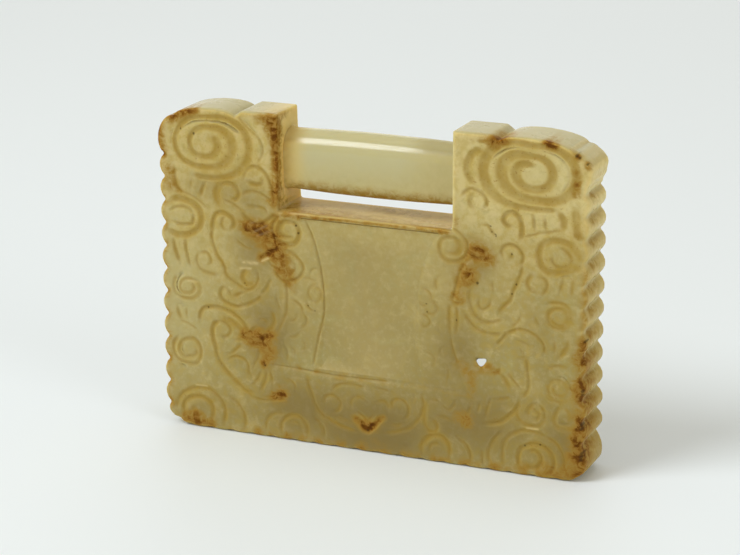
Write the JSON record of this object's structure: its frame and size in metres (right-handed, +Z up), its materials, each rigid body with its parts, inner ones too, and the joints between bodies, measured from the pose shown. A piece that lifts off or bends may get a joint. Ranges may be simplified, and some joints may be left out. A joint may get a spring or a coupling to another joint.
{
  "type": "belt buckle",
  "caption": "Padlock-shaped jade belt buckle: a carved plaque with scalloped edges and a barrel-shaped bar above a slot for the strap.",
  "frame": {"origin": "bottom edge of the plaque, in the middle of its width and of its thickness", "axes": "+Z up from the scalloped bottom edge to the shoulders, the carved front faces -Y, +X to the right seen from the front"},
  "size_m": [0.0732, 0.0094, 0.0545],
  "materials": {
    "jade_plaque": "polished",
    "jade_bar": "polished"
  },
  "bodies": {
    "root": {"plaque_body": "jade_plaque", "left_shoulder": "jade_plaque", "right_shoulder": "jade_plaque", "strap_bar": "jade_bar"}
  },
  "joints": []
}
